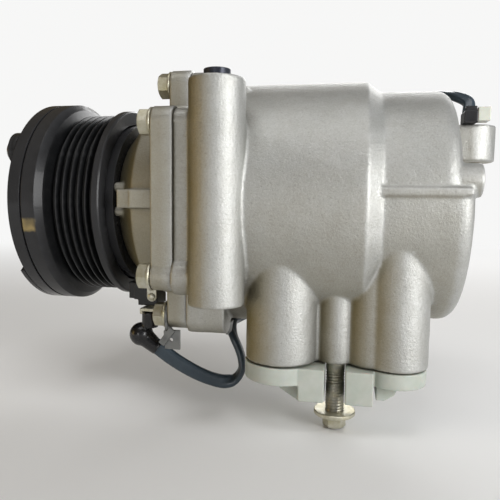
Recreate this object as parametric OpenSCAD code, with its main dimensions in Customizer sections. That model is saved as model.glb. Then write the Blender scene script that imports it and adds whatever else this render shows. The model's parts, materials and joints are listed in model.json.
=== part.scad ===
// Belt-driven scroll compressor for a car's air conditioning.
// Millimetres. The shaft lies along X, the pulley is at -X, the mounting bosses
// stand along Z and the hose ports look down. The origin is on the shaft axis,
// in the middle plane of the belt track.

/* [Belt pulley] */
// Radius of the plain front rim of the pulley
rim_r = 50.1; // [49:0.1:51]
// Radius over the belt ribs
rib_r = 44.6; // [44.4:0.1:45]
// Depth of a belt groove
groove_depth = 2.5; // [2.2:0.1:2.7]
// Spacing of the belt grooves
groove_pitch = 3.56; // [3.5:0.01:3.6]
// Number of belt grooves
groove_count = 6; // [6]

/* [Clutch] */
// Thickness of the armature plate
armature_t = 5.5; // [4.5:0.1:6]
// Air gap between the armature and the pulley when the coil is off
air_gap = 0.5; // [0.5:0.05:0.7]
// Thickness of the hub plate
hub_plate_t = 2; // [1.8:0.1:2.2]
// Radius at which the rubber dampers sit
damper_at_r = 41.5; // [41:0.1:42]
// Radius of a rubber damper
damper_r = 8.5; // [8:0.1:8.8]

/* [Housings] */
// Radius of the cylindrical part of the main housing
body_r = 57; // [56.5:0.1:58]
// Radius of the rear part of the main housing
rear_r = 52.3; // [51.5:0.1:53]
// Radius of the bore that takes the scrolls
bore_r = 46; // [45.8:0.1:46.2]
// X of the front face of the front housing's flange
x_flange = 41.5; // [41:0.1:42]
// X of the joint between the two housings
x_joint = 51.1; // [50.6:0.1:51.6]
// X of the rear face
x_rear = 169.4; // [169:0.1:170]
// Radius of the circle on which the housing bolts stand
bolt_at_r = 59; // [58.6:0.1:59.4]
// Radius of the round ear about each housing bolt
ear_r = 6.6; // [6.4:0.1:7]

/* [Mounting] */
// X of the two front mounting bosses
boss_x = 69.6; // [69.2:0.1:70]
// Distance of a mounting boss from the shaft axis
boss_y = 53.4; // [53:0.1:53.8]
// Radius of a mounting boss
boss_r = 11.5; // [11.2:0.1:11.8]
// Top of a mounting boss
boss_top = 49.3; // [48:0.1:50]
// Bottom of a mounting boss
boss_bottom = -40.8; // [-42:0.1:-40]
// Radius of the clearance hole for a mounting bolt, through boss and bush alike
bolt_hole_r = 4.4; // [4.2:0.1:4.5]

/* [Ports] */
// Z of the face that the hose block bolts to
port_z = -66.2; // [-67:0.1:-65.5]
// X of the suction port
suction_x = 94.9; // [94.5:0.1:95.5]
// Radius of the suction port boss
suction_boss_r = 15.6; // [15.2:0.1:16]
// X of the discharge port
discharge_x = 142.9; // [142.5:0.1:143.5]
// Radius of the discharge port boss
discharge_boss_r = 13.5; // [13.2:0.1:14]
// X of the hose block stud
stud_x = 118.4; // [118:0.1:118.8]
// Distance of the ports' row from the shaft axis
port_y = 36; // [35.8:0.1:36.4]

/* [Scrolls and shaft] */
// Radius of the orbit, which is the throw of the crank pin
throw = 5; // [4.8:0.1:5]
// Spacing of the spiral's turns
spiral_pitch = 17; // [17:0.1:17.2]
// Thickness of the spiral wall
spiral_wall = 3.2; // [3:0.1:3.2]
// Radius of the shaft in its seal and nose bearing
shaft_r = 8.5; // [8.3:0.1:8.6]
// Radius of the crank pin
crank_pin_r = 7; // [6.5:0.1:7.2]

/* [Lead] */
// Width of the flat two-core lead
lead_w = 6.2; // [5.8:0.1:6.4]
// Thickness of the flat two-core lead
lead_t = 3.8; // [3.4:0.1:4]

/* [Hidden] */
$fn = 96;

cast_grey = [0.62, 0.62, 0.60];
steel = [0.66, 0.67, 0.69];
zinc = [0.80, 0.76, 0.58];
black = [0.07, 0.07, 0.08];
cap_green = [0.74, 0.77, 0.72];
lead_blue = [0.20, 0.23, 0.28];
eps = 0.01;

// Clutch stations along X
x_rotor = -20.9;
x_armature = x_rotor - air_gap - armature_t;
x_hub = x_armature - 0.5 - hub_plate_t;
x_pulley_end = 14.5;
pad_r = damper_r - 1.3;
coil_r = 39.2;
rotor_in_r = 39.9;
nose_r = 17.5;
bearing_x = -12.6;
bearing_w = 20;
race_out_r = 25;
row_r = 21.25;
ball_r = 2.6;
ball_rows = [bearing_x + 5.2, bearing_x + bearing_w - 5.2];
// Angles about the shaft, from -Y towards the top
damper_angles = [35, 155, 275];
balance_angle = 294;
bolt_angles = [66, 35, -31, -61];
thread_depth = 11.6;

// Scroll stations along X
x_thrust = 71.5;
x_plate = 74;
x_wrap = 81.5;
x_fixed = 106;
x_shoulder = 114;
spiral_a = spiral_pitch / 2 / PI;
guide_at_r = 29.8;
guide_pin_r = 2.5;
plate_r = 40.2;
ring_hole_r = guide_pin_r + throw + 0.15;
ring_out_r = 8.8;
main_x = 42;
main_w = 16;
main_out_r = 31;
main_row_r = 23;
main_ball_r = 4.7;
journal_r = 15;

// Route of the lead: point, then the way its flat side faces
route = [
    [[27.6, -24, -65.2], [0, 1, 0]], [[33, -23.6, -69.2], [0, 1, 0]],
    [[38.8, -23, -73.6], [0, 1, 0]], [[45.4, -22.3, -77.8], [0, 1, 0]],
    [[52.4, -21.4, -81.5], [0, 1, 0]], [[59.2, -20.3, -84.2], [0.1, 1, 0]],
    [[65.2, -19, -85.5], [0.5, 1, -0.3]], [[70, -17.6, -84.5], [1, 0.7, -0.5]],
    [[72.8, -16, -80.8], [1, 0.3, -0.3]], [[73, -14.6, -76.2], [1, 0, 0]],
    [[71.3, -13.4, -71], [1, 0, 0.3]], [[68.3, -12, -65.4], [1, 0, 0.5]],
    [[65.6, -7, -62], [0.5, 0, 1]], [[64.5, 0, -60.4], [0, 0, 1]],
    [[66.2, 8, -60.2], [0, -0.1, 1]], [[70, 16, -58.7], [0, -0.3, 1]],
    [[75, 25.2, -55.4], [0, -0.5, 1]], [[80.5, 34, -50.4], [0, -0.7, 1]],
    [[85, 42, -43.5], [0, -1, 1]], [[92, 48.5, -35.6], [0, -1, 0.7]],
    [[99, 53.8, -26.6], [0, -1, 0.5]], [[106.5, 57.6, -16.6], [0, -1, 0.3]],
    [[114, 59.5, -6], [0, -1, 0.1]], [[121.5, 59.5, 5], [0, -1, -0.1]],
    [[128, 57.8, 15.4], [0, -1, -0.3]], [[134, 54, 24.8], [0, -1, -0.4]],
    [[140, 47.6, 32.6], [0, -1, -0.7]], [[146, 40, 40], [0, -1, -1]],
    [[151.5, 31, 46.6], [0, -0.7, -1]], [[156.5, 20.5, 51.4], [0, -0.4, -1]],
    [[161.2, 10.5, 53.2], [0, -0.2, -1]], [[165.6, 2.6, 52], [0.1, 0.1, -1]],
    [[169.6, -3.6, 49.8], [0.4, 0.3, -1]], [[173, -8.4, 46.4], [0.3, 1, -0.6]],
    [[172.7, -11.4, 41.4], [0, 1, 0]]];
// Notch in the rear corner of the main housing that the lead runs through
notch_at = [161.2, 10.5, 53.2];
notch_turn = [0, 102, -60];

// Turned part about the shaft: points are [x, radius]
module turned(points) {
    rotate([0, 90, 0]) rotate_extrude() polygon([for (p = points) [p[1], p[0]]]);
}

// Plain ring about an axis along X
module ring(x0, x1, r_out, r_in, y = 0, z = 0) {
    translate([x0, y, z]) rotate([0, 90, 0]) difference() {
        cylinder(h = x1 - x0, r = r_out);
        translate([0, 0, -1]) cylinder(h = x1 - x0 + 2, r = r_in);
    }
}

module rod_x(x0, x1, r, y = 0, z = 0) {
    translate([x0, y, z]) rotate([0, 90, 0]) cylinder(h = x1 - x0, r = r);
}

module rod_z(z0, z1, r, x, y) {
    translate([x, y, z0]) cylinder(h = z1 - z0, r = r);
}

// Ring of round section about the shaft
module o_ring(x, r_mid, r_wire) {
    translate([x, 0, 0]) rotate([0, 90, 0]) rotate_extrude() translate([r_mid, 0]) circle(r = r_wire, $fn = 32);
}

// Turned part about Z: points are [radius, z]
module turned_z(points) {
    rotate_extrude() polygon(points);
}

// Plate across the shaft, drawn in the plane of Y and Z
module slab(x0, x1) {
    translate([x0, 0, 0]) rotate([90, 0, 90]) linear_extrude(x1 - x0) children();
}

// A place at radius r and angle a, from -Y towards +Z
function around(r, a) = [-r * cos(a), r * sin(a)];
all_bolts = [for (a = bolt_angles) each [around(bolt_at_r, a), around(bolt_at_r, 180 - a)]];
bracket_bolt = around(bolt_at_r, bolt_angles[3]);
bracket_t = 1.2;

// Wedge of the plane of Y and Z, w degrees wide, centred on angle a
module wedge(r, a, w) {
    polygon(concat([[0, 0]], [for (k = [-2 : 2]) around(r / cos(w / 8), a + k * w / 4)]));
}

function unit(v) = v / norm(v);

// One side of a spiral wall: s is half the wall's thickness over the base radius
function spiral_point(t, s) = let (d = t * 180 / PI)
    spiral_a * [cos(d) + (t + s) * sin(d), sin(d) - (t + s) * cos(d)];

module spiral(t0, t1, wall) {
    steps = ceil((t1 - t0) / 0.16);
    half = wall / 2 / spiral_a;
    out_side = [for (i = [0 : steps]) spiral_point(t0 + (t1 - t0) * i / steps, half)];
    in_side = [for (i = [steps : -1 : 0]) spiral_point(t0 + (t1 - t0) * i / steps, -half)];
    polygon(concat(out_side, in_side));
}

// ---------- clutch ----------

module clutch_bolt() {
    color(zinc) difference() {
        union() {
            rod_x(x_hub - 1.6, x_hub, 9);
            translate([x_hub - 6.2, 0, 0]) rotate([0, 90, 0]) cylinder(h = 4.7, r = 5.8, $fn = 6);
            rod_x(x_hub - 0.1, -12, 3);
        }
        rod_x(x_hub - 7, x_hub - 5.2, 3.2);
    }
}

// Spider with three cups for the dampers and one arc that balances the clutch
module hub_plate() {
    color(black) difference() {
        union() {
            slab(x_hub, x_hub + hub_plate_t) {
                circle(r = 24);
                for (a = damper_angles) {
                    translate(around(damper_at_r, a)) circle(r = damper_r);
                    rotate(180 - a) translate([0, -damper_r]) square([damper_at_r, 2 * damper_r]);
                }
                intersection() {
                    circle(r = rim_r);
                    wedge(rim_r + 8, balance_angle, 52);
                }
            }
            for (a = damper_angles) rod_x(x_hub - 1.8, x_hub + 0.5, damper_r, around(damper_at_r, a)[0],
                around(damper_at_r, a)[1]);
            rod_x(x_hub + 0.5, -17.6, 12);
        }
        rod_x(x_hub - 1, 0, 7.55);
        for (a = damper_angles) rod_x(x_hub - 3, x_hub + 5, pad_r + 0.1, around(damper_at_r, a)[0],
            around(damper_at_r, a)[1]);
    }
}

module damper_pads() {
    color([0.22, 0.17, 0.14]) for (a = damper_angles) {
        p = around(damper_at_r, a);
        translate([0, p[0], p[1]]) difference() {
            turned([[x_hub - 4.1, 0], [x_hub - 4.1, 5.2], [x_hub - 3.8, 6.2], [x_hub - 3.1, 6.9],
                [x_hub - 1.9, pad_r], [x_hub + hub_plate_t + 0.1, pad_r], [x_hub + hub_plate_t + 0.1, 0]]);
            rod_x(x_hub - 8, x_hub + 8, 3.3);
        }
    }
}

module damper_rivets() {
    color(steel) for (a = damper_angles) {
        p = around(damper_at_r, a);
        translate([0, p[0], p[1]]) turned([[x_hub - 5.9, 0], [x_hub - 5.9, 3.2], [x_hub - 5.5, 4.2],
            [x_hub - 4.85, 4.2], [x_hub - 4.85, 3], [x_armature + armature_t - 1.2, 3],
            [x_armature + armature_t - 1.2, 0]]);
    }
}

module armature_plate() {
    color(black) difference() {
        ring(x_armature, x_armature + armature_t, rim_r, 27);
        for (k = [0 : 5]) slab(x_armature - 1, x_armature + armature_t + 1) intersection() {
            difference() {
                circle(r = 36.2);
                circle(r = 34);
            }
            wedge(44, 60 * k, 44);
        }
        for (a = damper_angles) rod_x(x_armature - 1, x_armature + armature_t + 1, 3.05,
            around(damper_at_r, a)[0], around(damper_at_r, a)[1]);
    }
}

module gap_shims() {
    color(steel) ring(-17.6, -16.9, 11, 7.6);
}

// Profile of the pulley, from its friction face round to its bearing bore
function groove(c) = [[c - 1.53, rib_r], [c - 0.62, rib_r - groove_depth],
    [c + 0.62, rib_r - groove_depth], [c + 1.53, rib_r]];
first_groove = -(groove_count - 1) / 2 * groove_pitch;
root_r = rib_r - groove_depth;
groove_flank = tan(20);
front_wall = [[first_groove - 0.62 - (rim_r - 2.6 - root_r) * groove_flank, rim_r - 2.6],
    [first_groove - 0.62, root_r], [first_groove + 0.62, root_r], [first_groove + 1.53, rib_r]];
rear_wall = [[-first_groove - 1.53, rib_r], [-first_groove - 0.62, root_r],
    [-first_groove + 0.62, root_r],
    [-first_groove + 0.62 + (rib_r + 1.9 - root_r) * groove_flank, rib_r + 1.9]];
middle = [for (k = [1 : groove_count - 2]) each groove(first_groove + k * groove_pitch)];
pulley_profile = concat(
    [[x_rotor, 26], [x_rotor, rim_r - 0.6], [x_rotor + 0.6, rim_r], [-14.2, rim_r]],
    front_wall, middle, rear_wall,
    [[13.9, rib_r + 1.9], [x_pulley_end, rib_r + 1.3], [x_pulley_end, rotor_in_r],
    [-14.3, rotor_in_r], [-14.3, 28.4], [7.8, 28.4], [7.8, race_out_r],
    [bearing_x - 0.1, race_out_r], [bearing_x - 0.1, 23.4], [x_rotor + 2, 23.4]]);

module pulley() {
    color(black) difference() {
        turned(pulley_profile);
        for (k = [0 : 5]) slab(x_rotor - 1, -14) intersection() {
            difference() {
                circle(r = 33);
                circle(r = 30.8);
            }
            wedge(42, 60 * k + 30, 46);
        }
    }
}

// Bearing ring with its rows of ball grooves
module bearing_ring(x0, w, r_out, r_in, rows, row_at_r, groove_r) {
    difference() {
        ring(x0, x0 + w, r_out, r_in);
        for (x = rows) o_ring(x, row_at_r, groove_r);
    }
}

module balls(rows, row_at_r, r, count) {
    for (x = rows) for (k = [0 : count - 1]) {
        p = around(row_at_r, 360 * k / count);
        translate([x, p[0], p[1]]) sphere(r = r, $fn = 32);
    }
}

module pulley_bearing_outer() {
    color(steel) bearing_ring(bearing_x, bearing_w, race_out_r - 0.02, 22.4, ball_rows, row_r, ball_r + 0.08);
}

module pulley_bearing_balls() {
    color(steel) balls(ball_rows, row_r, ball_r, 20);
}

module pulley_bearing_inner() {
    color(steel) bearing_ring(bearing_x, bearing_w, 20.1, nose_r + 0.02, ball_rows, row_r, ball_r + 0.08);
}

module pulley_bearing_seals() {
    color([0.25, 0.12, 0.08]) {
        ring(bearing_x + 0.4, bearing_x + 1.4, 22.38, 20.4);
        ring(bearing_x + bearing_w - 1.4, bearing_x + bearing_w - 0.4, 22.38, 20.4);
    }
}

// Open spring ring with a gap of g degrees at the bottom
module snap_ring(x0, x1, r_out, r_in, g) {
    slab(x0, x1) difference() {
        circle(r = r_out);
        circle(r = r_in);
        wedge(r_out + 4, 270, g);
    }
}

module pulley_snap_ring() {
    color(steel) snap_ring(-14.1, -12.72, 19.2, 16.5, 40);
}

module coil_housing() {
    color(black) difference() {
        ring(-11.5, 18.05, coil_r, 20.25);
        ring(-12, 13.6, 37.4, 31);
        translate([-12, 0, 0]) rotate([0, 90, 0]) cylinder(h = 27.6, r = 29.2);
    }
}

module coil_winding() {
    color([0.45, 0.22, 0.1]) ring(-10.6, 13.5, 37.3, 31.1);
}

module coil_snap_ring() {
    color(steel) snap_ring(14.1, 15.5, 22, 19.4, 40);
}

// Black block under the coil that the lead plugs into, cut to the cone of the housing
clip_x = 31.8;
clip_z = -43.8;
module coil_terminal() {
    color(black) difference() {
        union() {
            translate([22.4, -27, -45.6]) cube([11.8, 12, 8]);
            translate([24.6, -27, -48.3]) cube([9.6, 12, 3]);
            translate([18.2, -23, -46]) cube([6, 8, 8]);
        }
        turned([[17, 0], [17, 34.9], [19.3, 35], [29.2, 45.4], [x_flange, 47.4], [x_flange, 0]]);
        translate([clip_x, -28, clip_z]) rotate([-90, 0, 0]) cylinder(h = 6, r = 1.25);
    }
}

// Tongue that holds the block, with its screw
module terminal_clip() {
    color(zinc) difference() {
        union() {
            translate([clip_x, -28.1, clip_z]) rotate([-90, 0, 0]) cylinder(h = 1, r = 2.3);
            translate([clip_x - 2.3, -28.1, clip_z]) cube([4.6, 1, 6.4]);
        }
        translate([clip_x, -30, clip_z]) rotate([-90, 0, 0]) cylinder(h = 4, r = 1.3);
    }
}

module terminal_screw() {
    color(zinc) translate([clip_x, -28.15, clip_z]) rotate([90, 0, 0]) {
        turned_z([[0, 0], [1.75, 0], [1.55, 0.7], [0.9, 1.1], [0, 1.2]]);
        translate([0, 0, -5.8]) cylinder(h = 5.9, r = 1.2);
    }
}

module boot_bracket() {
    color(zinc) difference() {
        union() {
            translate([27, -30.8, -50.4]) cube([7.1, 11.8, 1.3]);
            translate([27, -30.8, -51.6]) cube([1.2, 11.8, 1.4]);
        }
        rod_z(-52, -48, 2.2, 30.2, -24);
    }
}

module lead_boot() {
    color(black) difference() {
        union() {
            translate([24.9, -24, -63.1]) rotate([90, 0, 0]) rotate([0, 0, 180]) sphere(r = 5.7, $fn = 48);
            rod_z(-59.4, -51.65, 3.9, 29.4, -24);
            translate([24.9, -24, -63.1]) rotate([0, 128, 0]) cylinder(h = 11, r1 = 4.8, r2 = 3.5);
        }
        translate([24.9, -24, -63.1]) rotate([0, 128, 0]) translate([0, 0, 9.6]) cylinder(h = 4, r = 1.2);
    }
}

// Flat lead swept along its route: each ring is an ellipse across the way it runs
function tangent(i) = unit(route[min(i + 1, len(route) - 1)][0] - route[max(i - 1, 0)][0]);
function across(i) = unit(cross(tangent(i), route[i][1]));
lead_sides = 12;
lead_points = [for (i = [0 : len(route) - 1]) each
    let (w = across(i), n = cross(tangent(i), w))
    [for (k = [0 : lead_sides - 1]) let (a = 360 * k / lead_sides)
        route[i][0] + w * lead_w / 2 * cos(a) + n * lead_t / 2 * sin(a)]];
lead_walls = [for (i = [0 : len(route) - 2]) for (k = [0 : lead_sides - 1])
    let (a = i * lead_sides + k, b = i * lead_sides + (k + 1) % lead_sides)
    each [[a, a + lead_sides, b], [b, a + lead_sides, b + lead_sides]]];
lead_ends = [[for (k = [0 : lead_sides - 1]) k],
    [for (k = [lead_sides - 1 : -1 : 0]) (len(route) - 1) * lead_sides + k]];

module coil_lead() {
    color(lead_blue) polyhedron(points = lead_points, faces = concat(lead_walls, lead_ends));
}

// Sheet bracket under the lowest near housing bolt, with a strap round the boot
module lead_bracket() {
    p = bracket_bolt;
    color(steel) difference() {
        union() {
            slab(x_flange - bracket_t, x_flange) {
                translate(p) circle(r = 6);
                translate([p[0] - 5.2, p[1] - 10]) square([7, 10]);
            }
            translate([x_flange - bracket_t, p[0] - 5.2, p[1] - 15.2]) cube([7.2, bracket_t, 9]);
            translate([x_flange + 1.6, p[0] - 6.6, p[1] - 4.6]) rotate([0, 126.5, 0]) cube([9, bracket_t, 3]);
            translate([x_flange - bracket_t, p[0] - 6.6, p[1] - 9.4]) cube([bracket_t, 2, 3]);
        }
        rod_x(x_flange - 3, x_flange + 1, 3.3, p[0], p[1]);
        translate([x_flange + 1.9, p[0] - 7, p[1] - 10.8]) rotate([-90, 0, 0]) cylinder(h = 4, r = 0.9);
    }
}

// Two sheet clips that press the lead to the housing
module clip(at, turn, foot) {
    translate(at) rotate(turn) difference() {
        translate([-2.5, -lead_w / 2 - 1.4, -lead_t / 2 - 1.4]) cube([5, lead_w + 2.8 + foot, lead_t + 2.8]);
        translate([-3, -lead_w / 2 - 0.6, -lead_t / 2 - 0.6]) cube([6, lead_w + 1.2, lead_t + 1.2]);
        translate([-3, lead_w / 2 + 1.4, -lead_t / 2 - 0.5]) cube([6, foot + 2, lead_t + 3]);
    }
}

module lead_clips() {
    color(steel) {
        translate([66.2, -20.8, -61.8]) rotate([0, 8, 0]) cube([1.1, 8.4, 5.6]);
        difference() {
            union() {
                clip([114, 59.5, -6], [-84, -55, 0], 7);
                clip([151.5, 31, 46.8], [-14, -27, -62], 7);
            }
            rod_x(60, 131, body_r + 0.05);
            rod_x(130, x_rear, rear_r + 0.05);
        }
    }
}

module lead_connector() {
    color(black) {
        translate([170.3, -15.6, 36.6]) cube([5.6, 8.4, 5]);
        translate([171, -15, 41.5]) cube([4.6, 7.2, 2.4]);
    }
}

module connector_lock() {
    color([0.85, 0.86, 0.80]) difference() {
        translate([176, -15.2, 37.4]) cube([5.2, 7.2, 6]);
        translate([179.4, -14, 38.6]) cube([3, 4.8, 3.6]);
    }
}

// ---------- housings ----------

// Outline of a housing at the joint: a disc, bolt ears with upright necks and flat sides
module joint_outline(core_r, top_r, low_r) {
    circle(r = core_r);
    for (p = all_bolts) {
        r = p[1] > 0 ? top_r : low_r;
        translate(p) circle(r = r);
        if (abs(p[0]) < 40) translate([p[0] - r, min(p[1], 0)]) square([2 * r, abs(p[1])]);
    }
    top = around(bolt_at_r, bolt_angles[1])[1];
    low = around(bolt_at_r, bolt_angles[2])[1];
    side = bolt_at_r * cos(bolt_angles[1]) + top_r - 0.2;
    translate([-side, low]) square([2 * side, top - low]);
}

seal_r = 49.2;
front_outer = [[-16.5, 9], [-16.5, 16.9], [-15.9, nose_r], [-14.15, nose_r], [-14.15, 16.4],
    [-12.65, 16.4], [-12.65, nose_r], [bearing_x + bearing_w, nose_r],
    [bearing_x + bearing_w, 20.2], [14.05, 20.2], [14.05, 19.3], [15.55, 19.3], [15.55, 20.2],
    [18.1, 20.2], [18.1, 33.5], [19.1, 34.5], [29, 45], [x_flange + 1, 47],
    [x_flange + 1, 9]];
front_spigot = [[x_joint - 1, 30], [x_joint - 1, bore_r - 0.1], [57, bore_r - 0.1], [57.5, bore_r - 0.6],
    [x_thrust, bore_r - 0.6], [x_thrust, 30]];
hub_clear_r = 26.4;
front_bore = [[-20, -1], [-20, 14.6], [-16.5 - eps, 14.6], [-15.9, 14], [-7.25, 14], [-7.25, 14.9],
    [-5.95, 14.9], [-5.95, 14], [9, 14], [9, 12], [24, 12], [24, 10], [39.5, 10], [39.5, 24],
    [main_x, 24], [main_x, main_out_r], [main_x + main_w, main_out_r],
    [main_x + main_w, 33], [63, 33], [63, hub_clear_r], [x_thrust + 1, hub_clear_r],
    [x_thrust + 1, -1]];

module front_housing() {
    color(cast_grey) difference() {
        union() {
            turned(front_outer);
            slab(x_flange, x_joint) joint_outline(53, ear_r, ear_r - 0.6);
            turned(front_spigot);
            // thick rib on each side of the cone, and thin ribs above and below
            for (s = [-1, 1]) translate([23.4, s * 44 - 3, -1.8]) cube([18.6, 6, 7.8]);
            for (s = [-1, 1]) translate([30, s * 30 - 20, -1.8]) cube([12, 40, 7.8]);
            for (a = [62, 118, 255, 285]) rotate([a - 90, 0, 0]) translate([24, -1.8, 30]) cube([18, 3.6, 15.6]);
            // small pegs that locate the coil
            for (z = [7.3, -3.6]) rod_x(18.1, 24, 2.3, -36.4, z);
        }
        turned([for (p = front_bore) [p[0], max(p[1], 0)]]);
        for (p = all_bolts) rod_x(x_flange - 1, x_joint + 1, 3.3, p[0], p[1]);
        turned([[x_joint - 1.8, seal_r - 1.1], [x_joint - 1.8, seal_r + 1.1], [x_joint + 1, seal_r + 1.1],
            [x_joint + 1, seal_r - 1.1]]);
        for (k = [0 : 5]) rod_x(64, x_thrust + 1, guide_pin_r, guide_at_r * cos(60 * k),
            guide_at_r * sin(60 * k));
    }
}

module housing_bolts() {
    color(zinc) for (p = all_bolts) translate([p == bracket_bolt ? -bracket_t : 0, p[0], p[1]]) {
        rod_x(x_flange - 1.4, x_flange, 6.3);
        // the topmost heads stand on a corner, the others on a flat
        rotate([p[1] > 50 ? 0 : 30, 0, 0]) translate([x_flange - 6, 0, 0]) rotate([0, 90, 0])
            cylinder(h = 4.8, r = 5.77, $fn = 6);
        rod_x(x_flange - eps, x_joint + thread_depth - 0.6, 3);
    }
}

module housing_seal_ring() {
    color(black) o_ring(x_joint - 0.9, seal_r, 0.88);
}

rear_corner = 6;
chamber_r = bore_r - 4.5;
// Rounded rear edge of a turned body that ends at x with radius r
function rear_edge(x, r) = [for (k = [0 : 4]) [x - rear_corner + rear_corner * sin(22.5 * k),
    r - rear_corner + rear_corner * cos(22.5 * k)]];
// The rear face is set back above the cast ridges
set_back = 4.6;
x_rear_top = x_rear - set_back;
body_outer = concat([[x_joint, 0], [x_joint, 53.5], [60, 53.5], [63.5, body_r], [129, body_r], [135, rear_r]],
    rear_edge(x_rear_top, rear_r), [[x_rear_top, 0]]);
low_rear_r = rear_r + 0.05;
low_rear = concat([[150, 0], [150, low_rear_r]], rear_edge(x_rear, low_rear_r), [[x_rear, 0]]);
body_bore = [[x_joint - 1, 0], [x_joint - 1, bore_r], [x_shoulder, bore_r], [x_shoulder, chamber_r],
    [161, chamber_r], [161, 0]];
ear_end = 69;
lug_x = 176.4;
lug_y = 1;
lug_bottom = 20.4;
lug_top = 36.4;
lug_r = 11.4;
rib_z = 4.4;

// Ear of an upper bolt: level as far as its tail, which slopes down to the body
module top_ear(p) {
    translate([0, p[0], 0]) rotate([90, 0, 0]) translate([0, 0, -ear_r + 1.3]) linear_extrude(2 * ear_r - 2.6)
        polygon([[58.5, 40], [58.5, p[1] + ear_r - 1.3], [67.8, p[1] + ear_r - 1.3], [78, 50.5], [78, 40]]);
    rod_x(57, 67, ear_r - 1.05, p[0], p[1]);
}

// Port boss that is as wide as its circle at x, carried back along X to x0
module wide_boss(x0, x, r, z1) {
    rod_z(port_z, z1, r, x, -port_y);
    rod_z(port_z, z1, r - 1.2, x0, -port_y + 2);
    translate([0, 0, port_z]) linear_extrude(z1 - port_z)
        polygon([[x0, -port_y + 2], [x0, -port_y + 3.7 - r], [x, -port_y - r + 0.5], [x, -port_y]]);
}

module main_housing() {
    top_ears = [around(bolt_at_r, bolt_angles[0]), around(bolt_at_r, 180 - bolt_angles[0])];
    low_ears = [around(bolt_at_r, bolt_angles[3]), around(bolt_at_r, 180 - bolt_angles[3])];
    color(cast_grey) difference() {
        union() {
            turned(body_outer);
            intersection() {
                turned(low_rear);
                translate([140, -60, -60]) cube([40, 120, 60 + rib_z + 2.4]);
            }
            slab(x_joint, 58) joint_outline(53.2, ear_r - 1, ear_r + 0.9);
            for (p = top_ears) top_ear(p);
            for (p = low_ears) slab(57, ear_end) {
                translate(p) circle(r = ear_r + 0.8);
                translate([p[0] - ear_r - 0.8, p[1]]) square([2 * ear_r + 1.6, -p[1] - 20]);
            }
            for (s = [-1, 1]) {
                rod_z(boss_bottom, boss_top, boss_r, boss_x, s * boss_y);
                translate([60, s > 0 ? 26 : -boss_y, boss_bottom + 3])
                    cube([17, boss_y - 26, boss_top - boss_bottom - 6]);
            }
            rod_z(port_z, -20, suction_boss_r, suction_x, -port_y);
            wide_boss(134.5, discharge_x, discharge_boss_r, -10);
            rod_z(port_z, -26, 7.7, stud_x, -port_y + 0.4);
            translate([104, -port_y - 3.4, port_z]) cube([26, 9, 36]);
            // rear mounting lug
            rod_z(lug_bottom, lug_top, lug_r, lug_x - 1.2, -lug_y);
            translate([160, -lug_y - lug_r + 0.2, lug_bottom + 0.2])
                cube([lug_x - 161.2, 2 * lug_r - 0.4, lug_top - lug_bottom - 0.4]);
            // cast ridges, and the round bump at the end of the near one
            for (s = [-1, 1]) translate([132, s * (rear_r - 2) - 3, rib_z]) cube([35.4, 6, 3.2]);
            rod_x(150, x_rear + 2.4, 6.6, -43.6, 10.4);
        }
        turned(body_bore);
        for (p = all_bolts) rod_x(x_joint - 1, x_joint + thread_depth, 3.05, p[0], p[1]);
        for (s = [-1, 1]) {
            rod_z(boss_bottom - 1, boss_top + 1, bolt_hole_r, boss_x, s * boss_y);
            rod_z(boss_top - 12, boss_top + 1, 5.42, boss_x, s * boss_y);
        }
        rod_z(lug_bottom - 1, lug_top + 1, bolt_hole_r, lug_x, lug_y);
        rod_z(port_z - 1, -18, 9.6, suction_x, -port_y);
        rod_z(port_z - 1, port_z + 3, 11.2, suction_x, -port_y);
        rod_z(port_z - 1, -12, 6.9, discharge_x, -port_y);
        rod_z(port_z - 1, port_z + 3, 8.6, discharge_x, -port_y);
        rod_z(port_z - 1, port_z + 16, 4.05, stud_x, -stud_y);
        translate(notch_at) rotate(notch_turn) translate([0, 0, -3]) cylinder(h = 24, r = 3.7);
    }
}

module mount_bushes() {
    color([0.2, 0.2, 0.22]) for (s = [-1, 1]) translate([boss_x, s * boss_y, boss_top - 11.9]) difference() {
        cylinder(h = 15.5, r = 5.4);
        translate([0, 0, -1]) cylinder(h = 18, r = bolt_hole_r);
    }
}

// ---------- shaft and bearings ----------

module shaft_seal() {
    color(black) difference() {
        ring(-5.9, 7.5, 13.95, shaft_r + 0.06);
        ring(-7, 3, 12.4, shaft_r + 1.6);
    }
}

module seal_snap_ring() {
    color(steel) snap_ring(-7.2, -6, 14.8, 11.4, 50);
}

module nose_bearing() {
    color(steel) ring(9.5, 23.5, 11.97, shaft_r + 0.05);
}

module crankshaft() {
    color(steel) difference() {
        union() {
            turned([[x_hub + 2, 0], [x_hub + 2, 7.2], [x_hub + 2.6, 7.5], [-16.85, 7.5], [-16.85, shaft_r],
                [41, shaft_r], [41, journal_r], [58.5, journal_r], [58.5, 0]]);
            rod_x(58.4, 72.6, crank_pin_r, 0, throw);
        }
        rod_x(x_hub, -11.5, 3.05);
    }
}

module main_bearing_inner() {
    color(steel) bearing_ring(main_x, main_w, 20.4, journal_r + 0.02, [main_x + main_w / 2], main_row_r,
        main_ball_r + 0.08);
}

module main_bearing_balls() {
    color(steel) balls([main_x + main_w / 2], main_row_r, main_ball_r, 9);
}

module main_bearing_outer() {
    color(steel) bearing_ring(main_x + 0.05, main_w - 0.05, main_out_r - 0.02, 25.6, [main_x + main_w / 2],
        main_row_r, main_ball_r + 0.08);
}

module counterweight() {
    color(steel) slab(58.6, 61.6) difference() {
        union() {
            intersection() {
                circle(r = 31);
                translate([-32, -32]) square([64, 28]);
            }
            translate([0, throw]) circle(r = 12);
            translate([-9, -6]) square([18, 10]);
        }
        translate([0, throw]) circle(r = crank_pin_r + 0.05);
    }
}

module drive_bush() {
    color(steel) ring(61.7, 73.2, 10.5, crank_pin_r + 0.05, 0, throw);
}

module orbit_bearing() {
    color(steel) ring(62.6, 73.6, 16.97, 10.56, 0, throw);
}

// ---------- scrolls ----------

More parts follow.
